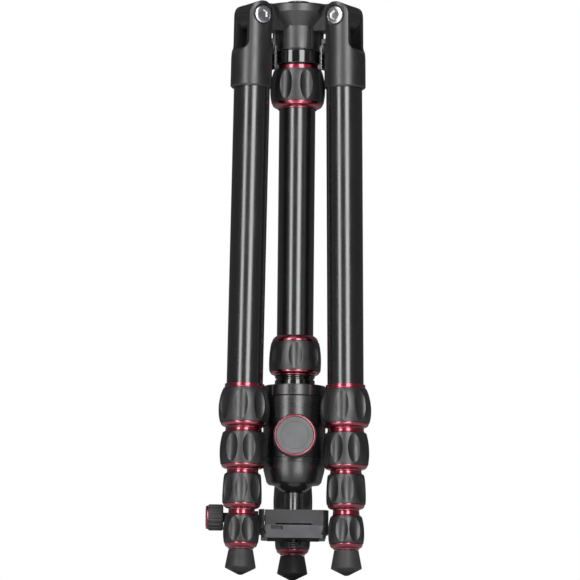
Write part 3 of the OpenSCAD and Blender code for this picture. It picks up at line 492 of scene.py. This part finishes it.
def collarOutline(k):
    # red end of tube k + 1 that stands above its grip
    base, top = gripBase(k), gripBase(k) + locks["lengths"][k]
    tube = leg["tubeRadii"][k]
    high = locks["topRing"] if k == 0 else locks["gaps"][k - 1] - locks["skirts"][k - 1] - locks["gap"]
    upper = tube + 1.0 if k == 0 else waistRadius(k - 1)
    lower = locks["topRadii"][k] - 0.4
    inner, neck = tube + fit, tube + locks["collarWall"]
    end, lip = base + locks["tubeEnd"], top + locks["gap"]
    outline = [(inner, end), (neck, end), (neck, lip), (lower, lip)]
    outline += [(lower + (upper - lower) * a, lip + (high - locks["gap"]) * b)
                for a, b in ((0.1, 0.1), (0.6, 0.22), (0.9, 0.36), (1.0, 1.0))]
    outline.append((inner, top + high))
    return outline


leg["tubeTops"] = [317.5 - 2 * k for k in range(5)]
leg["tubeEnds"] = [gripBase(k) + locks["tubeEnd"] for k in range(4)] + [6.2]


def gripFoot(length, widest, top):
    return bulgeRadius(length * locks["bulge"], widest, bulgeArc(length, widest, top))


shim = {"gap": 0.03, "play": 0.25, "drop": 2, "length": 22}


def tubePiece(name, radius, wall, low, high):
    tube = turned(name, [(radius - wall, low), (radius, low), (radius, high), (radius - wall, high)], 128)
    return finished(tube, 0.15)


def shimPiece(name, inner, outer, top, bevel):
    high, low = top - shim["drop"], top - shim["drop"] - shim["length"]
    return finished(turned(name, [(inner, low), (outer, low), (outer, high), (inner, high)], 96), bevel)


for k in range(5):
    radius, wall = leg["tubeRadii"][k], leg["tubeWall"]
    low, high = leg["tubeEnds"][k], leg["tubeTops"][k]
    parts = [("tubeShell", tubePiece("tube", radius, wall, low, high), "tubeBlack", True)]
    if k < 4:
        ring = finished(turned("collar", collarOutline(k), 128), 0.18, 30, 45)
        parts.append(("tubeCollar", ring, "crimsonAlloy", False))
    if k > 0:
        outer = leg["tubeRadii"][k - 1] - wall - shim["play"]
        sleeve = shimPiece("shim", radius + shim["gap"], outer, high, 0.12)
        parts.append(("tubeShim", sleeve, "ivoryPlastic", False))
    for label, obj, finish, stands in parts:
        for which in leg["turns"]:
            twin = copyOf(obj, "%s_%d_%s" % (label, k + 1, which))
            handOver(moved(twin, legPlace(which)), "leg_tube_%d_%s" % (k + 1, which), finish, stands)
        bpy.data.objects.remove(obj, do_unlink=True)
print("leg tubes made")

for k in range(4):
    base, length = gripBase(k), locks["lengths"][k]
    widest, top, tube = locks["radii"][k], locks["topRadii"][k], leg["tubeRadii"][k]
    core, bore = tube + 1.3, leg["tubeRadii"][k + 1] + 0.25
    skirt = gripFoot(length, widest, top) - 0.4
    nut = turned("nut", nutOutline(base - 0.03, length + 0.03, skirt, core, tube + 0.75, bore,
                                   locks["skirts"][k] - 0.03, waistRadius(k)), 128)
    parts = [("grip", gripPiece("grip", base, length, widest, top, core + 0.03), "gripRubber", True),
             ("lockNut", finished(nut, 0.18, 30, 45), "crimsonAlloy", False),
             ("lockCollet", colletPiece("collet", bore, base), "ivoryPlastic", False)]
    for label, obj, finish, stands in parts:
        for which in leg["turns"]:
            twin = copyOf(obj, "%s_%d_%s" % (label, k + 1, which))
            place = legPlace(which, locks["turns"][which][k])
            handOver(moved(twin, place), "leg_lock_%d_%s" % (k + 1, which), finish, stands)
        bpy.data.objects.remove(obj, do_unlink=True)
print("leg locks made")

foot = turned("foot", [(1.2, 0), (5.3, 2.05), (9.1, 3.95), (9.4, 4.3), (9.25, 5.1), (8.45, 9.6), (7.4, 15.2),
                       (5.03, 15.2), (5.03, 6), (0.6, 6)], 96, closed=False)
finished(foot, 0.3, 30, 30)
for which in leg["turns"]:
    handOver(moved(copyOf(foot, "footRubber_" + which), legPlace(which)), "foot_" + which, "footRubber")
bpy.data.objects.remove(foot, do_unlink=True)
print("feet made")

shoulder = {
    "drops": [-44.2, -43.3, -25.8, -21.6, 8.4],  # heights from the hinge
    "radii": [11.8, 12.6, 12.6, 12.3, 12.3],
    "shift": 0.6,
    "earHalf": 8.2,
    "earIn": 6.8,
    "earOut": 12,
    "corner": 7.8,
    "fork": -20.4,
    "bore": 11.03,
    "boltBore": 3.08,
    "seatRadius": 6.5,
    "seatDepth": 1.6,
}
hinge = leg["length"]
outline = [(radius, hinge + drop) for radius, drop in zip(shoulder["radii"], shoulder["drops"])]
shell = turned("shell", outline, 144, closed=False)
moved(shell, shifted(shoulder["shift"], 0, 0))
side = [(14, -45.5), (14, -24.6), (11.9, -22.6), (10.1, -21.1), (8.9, -19.6), (8.35, -18.2), (8.2, -16.5)]
for j in range(13):
    turn = math.radians(90 * j / 12)
    side.append((shoulder["earHalf"] - shoulder["corner"] * (1 - math.cos(turn)),
                 8.4 - shoulder["corner"] * (1 - math.sin(turn))))
flank = drawn("flank", side + [(-x, z) for x, z in reversed(side)], -16, 16)
combined(shell, "INTERSECT", moved(flank, shifted(0, 0, hinge) @ rotated(90, "X")))
combined(shell, "DIFFERENCE", cylinder(shoulder["bore"], hinge - 46, hinge - 23.8, 128))
slot = block((-15, -shoulder["earIn"], hinge + shoulder["fork"]), (15, shoulder["earIn"], hinge + 10))
combined(shell, "DIFFERENCE", slot)
across = cylinder(shoulder["boltBore"], -14, 14)
combined(shell, "DIFFERENCE", moved(across, shifted(0, 0, hinge) @ rotated(90, "X")))
for way in (-1, 1):
    seat = cylinder(shoulder["seatRadius"], shoulder["earOut"] - shoulder["seatDepth"], 15, 96)
    combined(shell, "DIFFERENCE", moved(seat, shifted(0, 0, hinge) @ rotated(90 * way, "X")))
finished(shell, 0.35, 30, 40, 3)
for which in leg["turns"]:
    twin = copyOf(shell, "shoulderCast_" + which)
    handOver(moved(twin, legPlace(which)), "shoulder_" + which, "castBlack")
    stop = copiedNode("angle_stop_" + which, "angleStop_" + which, 0.25, 28, 3)
    handOver(stop, "angle_stop_" + which, "stopGrey")
bpy.data.objects.remove(shell, do_unlink=True)
print("shoulders made")

bolt = {
    "seat": 10.6,
    "head": [(5.2, 0), (5.5, 0.3), (5.5, 1.0), (5.25, 1.4), (4.7, 1.62), (4.0, 1.75), (3.2, 1.86),
             (0.4, 1.95)],
    "socket": 2.75,
    "socketDepth": 1.1,
    "shank": 3,
}
first = True
for label, way, gap in (("hingeBolt", -1, 0), ("hingeNut", 1, 0.03)):
    outline = [(r, z + bolt["seat"] + gap) for r, z in bolt["head"]]
    if label == "hingeBolt":
        shank, half = bolt["shank"], bolt["seat"]
        outline = [(shank - 0.4, -half), (shank, 0.4 - half), (shank, half)] + outline
    head = turned(label, outline, 96, closed=False)
    socket = cylinder(bolt["socket"], bolt["seat"] + 2 - bolt["socketDepth"], bolt["seat"] + 3, 6)
    combined(head, "DIFFERENCE", socket)
    finished(head, 0.12, 30, 40)
    for which in leg["turns"]:
        place = legPlace(which) @ shifted(0, 0, hinge) @ rotated(90 * way, "X")
        twin = copyOf(head, "%s_%s" % (label, which))
        handOver(moved(twin, place), "hinge_bolts", "boltBright", first)
        first = False
    bpy.data.objects.remove(head, do_unlink=True)
print("hinge bolts made")

# crown and column

handOver(copiedNode("crown", "crownCast", 0.3, 28, 3), "crown", "castBlack")
seat = turned("columnSeat", [(13.43, 313.66), (16.1, 313.66), (16.5, 314.06), (16.5, 321.46), (15.7, 322.26),
                             (13.43, 322.26)], 128)
handOver(finished(seat, 0.2), "column_seat", "glossBlack")
print("crown made")

columnLocks = [
    {"base": 290.662, "length": 20, "widest": 16.9, "top": 14.8, "core": 14.2, "boreTop": 13.65,
     "bore": 11.25, "skirt": 4, "waist": 12, "spin": 18},
    {"base": 125.1, "length": 17.7, "widest": 16.3, "top": 14.5, "core": 12.3, "boreTop": 11.75,
     "bore": 9.75, "skirt": 2.67, "waist": 12.6, "spin": 0},
]
for number, lock in enumerate(columnLocks, 1):
    node, base, length = "column_lock_%d" % number, lock["base"], lock["length"]
    grip = gripPiece("columnGrip_%d" % number, base, length, lock["widest"], lock["top"], lock["core"] + 0.03)
    handOver(moved(grip, rotated(lock["spin"], "Z")), node, "gripRubber")
    skirt = gripFoot(length, lock["widest"], lock["top"]) - 0.4
    outline = nutOutline(base - 0.03, length + 0.03, skirt, lock["core"], lock["boreTop"], lock["bore"],
                         lock["skirt"], lock["waist"])
    nut = turned("columnNut_%d" % number, outline, 128)
    handOver(finished(nut, 0.2, 30, 45), node, "crimsonAlloy", False)
    if number == 1:  # only the upper lock has a red ring above its grip
        ring = turned("columnRing_1", [(13.65, 310.7), (14.4, 310.7), (14.4, 312.86), (14.25, 313.2),
                                       (14.0, 313.46), (13.65, 313.46)], 128)
        handOver(finished(ring, 0.15, 30, 45), node, "crimsonAlloy", False)
    handOver(colletPiece("columnCollet_%d" % number, lock["bore"], base), node, "ivoryPlastic", False)
print("column locks made")

column = {"radius": 11, "low": 130.5, "high": 350.06, "postRadius": 9.5, "postLow": 110, "postHigh": 330.06}
tube = tubePiece("columnTube", column["radius"], leg["tubeWall"], column["low"], column["high"])
handOver(tube, "column_tube", "tubeBlack")
ring = turned("columnRing_2", [(11.02, 130.5), (11.5, 130.5), (11.5, 143), (14.1, 143), (14.1, 143.6),
                               (13.75, 144.6), (13.0, 145.7), (11.6, 146.8), (11.02, 146.8)], 128)
handOver(finished(ring, 0.2, 30, 45), "column_tube", "crimsonAlloy", False)
post = tubePiece("columnPost", column["postRadius"], leg["tubeWall"], column["postLow"], column["postHigh"])
handOver(post, "column_post", "tubeBlack")
sleeve = shimPiece("postShim", column["postRadius"] + shim["gap"],
                   column["radius"] - leg["tubeWall"] - shim["play"], column["postHigh"], 0.1)
handOver(sleeve, "column_post", "ivoryPlastic", False)
handOver(copiedNode("column_cap", "columnCap", 0.2), "column_cap", "headBlack")
handOver(copiedNode("column_hook", "columnHook", 0), "column_hook", "boltBright")
print("column made")

# ball head

footRing = turned("headFootRing", [(9.53, 116.1), (11.6, 116.1), (12.2, 116.7), (12.2, 119.3), (12.0, 119.7),
                                   (11.4, 119.9), (11.4, 120.8), (12.0, 121.0), (12.2, 121.4), (12.0, 122.0),
                                   (11.6, 122.2), (9.53, 122.2)], 128)
handOver(finished(footRing, 0.12, 20), "head_foot_ring", "glossBlack")
handOver(copiedNode("pan_base", "panBase", 0.2, 28, 3), "pan_base", "headBlack")

head = {
    "ball": 65.1,  # height of its middle
    "ballRadius": 15,
    "socket": 15.25,  # radius of the hollow round the ball
    "boss": 8.4,
    "knob": 83.6,
    "knobBore": 3.48,
    "panKnob": 105.4,
    "panTurn": 150,
    "panBore": 1.68,
}
housing = turned("headHousing", [(19, 72.1), (19, 100.95), (18.5, 100.95), (18.5, 101.95), (19, 101.95),
                                 (19, 108.85), (18.6, 109.25), (7.25, 109.25), (7.25, 99), (15.5, 99),
                                 (15.5, 72.1)], 160)
knobPlace = shifted(0, 0, head["knob"]) @ rotated(90, "X")
combined(housing, "UNION", moved(cylinder(head["boss"], 15.8, 20.6, 96), knobPlace))
combined(housing, "DIFFERENCE", moved(cylinder(head["knobBore"], 10, 25), knobPlace))
panPlace = shifted(0, 0, head["panKnob"]) @ rotated(head["panTurn"], "Z") @ rotated(90, "Y")
combined(housing, "DIFFERENCE", moved(cylinder(head["panBore"], 5, 25, 32), panPlace))
handOver(finished(housing, 0.2, 30, 38, 3), "head_housing", "headBlack")

outline = [(15.4, 56.0), (16.7, 57.4), (18.6, 64.7), (19, 68.9), (18.6, 68.9), (18.6, 69.3), (19, 69.3),
           (19, 70.6), (18.7, 70.6), (18.7, 70.9), (19, 70.9), (19, 71.75), (18.65, 72.1),
           (head["socket"], 72.1)]
outline += [(math.sqrt(head["socket"] ** 2 - drop * drop), head["ball"] - drop)
            for drop in (0, 2, 4, 6, 7.6, 9.1)]
collar = turned("headCollar", outline, 160)
handOver(finished(collar, 0.12, 30, 38), "head_collar", "headBlack")
handOver(copiedNode("ball_cup", "ballCup", 0.2), "ball_cup", "ivoryPlastic")

clearSelection()
bpy.ops.mesh.primitive_uv_sphere_add(segments=96, ring_count=64, radius=head["ballRadius"] * mm)
ball = bpy.context.object
ball.name = "headBall"
bpy.ops.object.mode_set(mode="EDIT")
bpy.ops.mesh.select_all(action="SELECT")
bpy.ops.mesh.bisect(plane_co=(0, 0, -14.4 * mm), plane_no=(0, 0, 1), use_fill=True, clear_inner=True)
bpy.ops.object.mode_set(mode="OBJECT")
moved(ball, shifted(0, 0, head["ball"]))
handOver(finished(ball, 0), "ball", "ballBlack")
stem = turned("ballStem", [(6, 40.23), (6, 40.6), (5.7, 41.2), (5.7, 47.6), (5.85, 49.2), (6, 50.9),
                           (5.6, 51.0), (2.5, 50.1), (0.4, 49.9)], 96, closed=False)
handOver(finished(stem, 0.12), "ball_stem", "ballBlack")
print("head made")

knob = {"radius": 13.1, "flutes": 12, "fluteRadius": 3.2, "fluteDepth": 0.4}
rim = turned("mainKnob", [(3.4, 15.9), (3.4, 20.85), (11.6, 20.85), (12.6, 21.3), (13.1, 22.2), (13.1, 29.6),
                          (12.85, 30.45), (3.4, 30.45)], 144, closed=False)
combined(rim, "DIFFERENCE", *fluteCutters(knob, 20, 31.2, 40))
handOver(moved(finished(rim, 0.25, 30, 38, 3), knobPlace), "main_knob", "knobBlack")
ring = turned("knobRing", [(11.3, 30.45), (12.6, 30.45), (12.6, 31.3), (12.2, 31.75), (11.7, 31.85),
                           (11.3, 31.6)], 128)
handOver(moved(finished(ring, 0.12, 30, 45), knobPlace), "main_knob", "crimsonAlloy", False)
disc = turned("knobDisc", [(0.5, 30.45), (11.27, 30.45), (11.27, 31.2), (11.1, 31.35), (8.6, 31.3),
                           (8.5, 31.15), (8.3, 31.15), (8.2, 31.3), (0.5, 31.25)], 128, closed=False)
handOver(moved(finished(disc, 0.06), knobPlace), "main_knob", "discGrey", False)
handOver(copiedNode("pan_knob", "panKnob", 0.15), "pan_knob", "knobBlack")
print("knobs made")

# clamp and plate

handOver(copiedNode("clamp_body", "clampBody", 0.3, 28, 3), "clamp_body", "clampGrey")
handOver(copiedNode("clamp_jaw", "clampJaw", 0.25, 28, 3), "clamp_jaw", "clampGrey")
clampPlace = shifted(0, 0, 35.7) @ rotated(-90, "Y")
grip = {"radius": 8, "flutes": 18, "fluteRadius": 1.1, "fluteDepth": 0.45}
turnKnob = turned("clampKnob", [(1.6, 8.2), (2, 8.6), (2, 21.4), (4.2, 21.4), (4.2, 24.4), (3, 24.6),
                                (3, 42.6), (7.2, 42.6), (8, 43.4), (8, 51.0), (7.6, 51.7), (0.5, 51.7)],
                  96, closed=False)
combined(turnKnob, "DIFFERENCE", *fluteCutters(grip, 42, 52.2, 20))
handOver(moved(finished(turnKnob, 0.12), clampPlace), "clamp_knob", "clampGrey")
cap = turned("clampKnobCap", [(0.5, 51.7), (7.2, 51.7), (7.2, 52.7), (6.7, 53.2), (5.2, 53.4),
                              (0.5, 53.4)], 96, closed=False)
handOver(moved(finished(cap, 0.12, 30, 45), clampPlace), "clamp_knob", "crimsonAlloy", False)

handOver(copiedNode("quick_plate", "quickPlate", 0.25, 28, 3), "quick_plate", "plateGrey")
pad = {"halfLong": 13.4, "shift": 3.8, "low": 22.7, "grooves": 9, "grooveHalf": 14.6, "grooveWide": 0.7,
       "grooveDepth": 0.2}
sheet = copiedNode("plate_pad", "platePad", 0)
grooves = []
for j in range(pad["grooves"]):
    y = pad["shift"] + pad["halfLong"] * (2 * (j + 1) / (pad["grooves"] + 1) - 1)
    low = (-pad["grooveHalf"], y - pad["grooveWide"] / 2, pad["low"] - overrun)
    high = (pad["grooveHalf"], y + pad["grooveWide"] / 2, pad["low"] + pad["grooveDepth"])
    grooves.append(block(low, high))
combined(sheet, "DIFFERENCE", *grooves)
handOver(finished(sheet, 0.08), "plate_pad", "padBlack")

screw = {"radius": 3.175, "core": 2.65, "neck": 2.6, "pitch": 1.27, "low": 17.7, "threadTop": 22.7,
         "head": 27.7, "headRadius": 5.2, "headTop": 30.1}
outline = [(2.3, screw["low"])]
height = screw["low"] + 0.35
while height + screw["pitch"] < screw["threadTop"]:
    outline += [(screw["core"], height), (screw["radius"], height + 0.5), (screw["radius"], height + 0.68)]
    height += screw["pitch"]
neck, wide, seat, crest = screw["neck"], screw["headRadius"], screw["head"], screw["headTop"]
outline += [(screw["core"], height), (neck, 22.8), (neck, seat), (wide - 0.3, seat), (wide, seat + 0.3),
            (wide, crest - 0.4), (wide - 0.4, crest), (0.5, crest)]
thread = turned("cameraScrew", outline, 64, closed=False)
combined(thread, "DIFFERENCE", block((-7, -0.6, 29.2), (7, 0.6, 31)))
handOver(moved(finished(thread, 0.06, 40), shifted(0, pad["shift"], 0)), "camera_screw", "screwDark")
print("clamp and plate made")

# stage, light and camera

stage = {
    "floorSize": 6.0,
    "floorGlow": 0.75,  # for the camera only, so that the floor is pale and keeps the shadow
    "pixelLength": 4583,
    "cameraBack": 2779,
    "cameraHeight": -165,
    "targetHeight": 177,
    "sideShift": -3.5,
    "cameraSide": -29,
    "heightShift": -1.65,
    "roll": 0.58,
    "fill": 0.08,
    "glossShare": 0.04,  # how much of the white backdrop polished surfaces mirror
}

clearSelection()
bpy.ops.mesh.primitive_plane_add(size=stage["floorSize"], location=(0, 0, 0))
floor = bpy.context.object
floor.name = "floor"
floorMat = bpy.data.materials.new("floorPale")
floorMat.use_nodes = True
nodes, links = floorMat.node_tree.nodes, floorMat.node_tree.links
shader = nodes["Principled BSDF"]
shader.inputs["Base Color"].default_value = (0.86, 0.86, 0.86, 1)
shader.inputs["Roughness"].default_value = 0.9
shader.inputs["Specular IOR Level"].default_value = 0.1
clear = nodes.new("ShaderNodeBsdfTransparent")
path = nodes.new("ShaderNodeLightPath")
under = nodes.new("ShaderNodeNewGeometry")
both = nodes.new("ShaderNodeMath")
both.operation = "MULTIPLY"
mix = nodes.new("ShaderNodeMixShader")
glow = nodes.new("ShaderNodeMath")
glow.operation = "MULTIPLY"
glow.inputs[1].default_value = stage["floorGlow"]
shader.inputs["Emission Color"].default_value = (1, 1, 1, 1)
links.new(path.outputs["Is Camera Ray"], glow.inputs[0])
links.new(glow.outputs[0], shader.inputs["Emission Strength"])
links.new(path.outputs["Is Camera Ray"], both.inputs[0])
links.new(under.outputs["Backfacing"], both.inputs[1])
links.new(both.outputs[0], mix.inputs["Fac"])
links.new(shader.outputs[0], mix.inputs[1])
links.new(clear.outputs[0], mix.inputs[2])
links.new(mix.outputs[0], nodes["Material Output"].inputs["Surface"])
floor.data.materials.append(floorMat)

world = bpy.data.worlds.new("studio")
bpy.context.scene.world = world
world.use_nodes = True
nodes, links = world.node_tree.nodes, world.node_tree.links
fill = nodes["Background"]
fill.inputs["Color"].default_value = (1, 1, 1, 1)
fill.inputs["Strength"].default_value = stage["fill"]
white = nodes.new("ShaderNodeBackground")
white.inputs["Color"].default_value = (1, 1, 1, 1)
white.inputs["Strength"].default_value = 1.0
path = nodes.new("ShaderNodeLightPath")
mix = nodes.new("ShaderNodeMixShader")
gloss = nodes.new("ShaderNodeMath")
gloss.operation = "MULTIPLY"
gloss.inputs[1].default_value = stage["glossShare"]
either = nodes.new("ShaderNodeMath")
either.operation = "MAXIMUM"
all3 = nodes.new("ShaderNodeMath")
all3.operation = "MAXIMUM"
links.new(path.outputs["Is Camera Ray"], either.inputs[0])
links.new(path.outputs["Is Transmission Ray"], either.inputs[1])
links.new(path.outputs["Is Glossy Ray"], gloss.inputs[0])
links.new(either.outputs[0], all3.inputs[0])
links.new(gloss.outputs[0], all3.inputs[1])
links.new(all3.outputs[0], mix.inputs["Fac"])
links.new(fill.outputs[0], mix.inputs[1])
links.new(white.outputs[0], mix.inputs[2])
links.new(mix.outputs[0], nodes["World Output"].inputs["Surface"])

lamps = [
    # azimuth from the camera side, distance, height of middle, width, length, watts
    ("stripLeft", -34, 1.1, 0.62, 0.3, 1.24, 5.9),
    ("stripRight", 16, 1.3, 0.65, 0.48, 1.3, 10),
    ("lowLeft", -34, 0.5, 0.004, 0.07, 0.7, 0.5),
    ("lowRight", 16, 0.5, 0.004, 0.1, 0.7, 0.7),
    ("topSoft", -30, 0.8, 1.5, 0.9, 0.9, 2),
]
for name, azimuth, distance, height, wide, tall, watts in lamps:
    clearSelection()
    turn = math.radians(azimuth)
    spot = Vector((distance * math.sin(turn), -distance * math.cos(turn), height))
    bpy.ops.object.light_add(type="AREA", location=spot)
    lamp = bpy.context.object
    lamp.name = name
    lamp.data.shape = "RECTANGLE"
    lamp.data.size = wide
    lamp.data.size_y = tall
    lamp.data.energy = watts
    lamp.visible_camera = False
    if name.startswith("low"):  # lies on the floor and shines up
        lamp.rotation_euler = (math.pi, 0, turn)
    else:
        lamp.rotation_euler = (Vector((0, 0, 0.18)) - spot).to_track_quat("-Z", "Y").to_euler()

side, lift = stage["sideShift"], stage["heightShift"]
eye = Vector((side + stage["cameraSide"], -stage["cameraBack"], stage["cameraHeight"] + lift)) * mm
aim = Vector((side, 0, stage["targetHeight"] + lift)) * mm
clearSelection()
bpy.ops.object.camera_add(location=eye)
camera = bpy.context.object
camera.rotation_mode = "QUATERNION"
camera.rotation_quaternion = (aim - eye).to_track_quat("-Z", "Y") @ Matrix.Rotation(
    math.radians(stage["roll"]), 3, "Z").to_quaternion()
camera.data.sensor_width = 36
camera.data.lens = stage["pixelLength"] / 580 * 36
camera.data.clip_start = 0.05
camera.data.clip_end = 50
bpy.context.scene.camera = camera
bpy.context.scene.view_settings.view_transform = "Standard"
print("stage made")
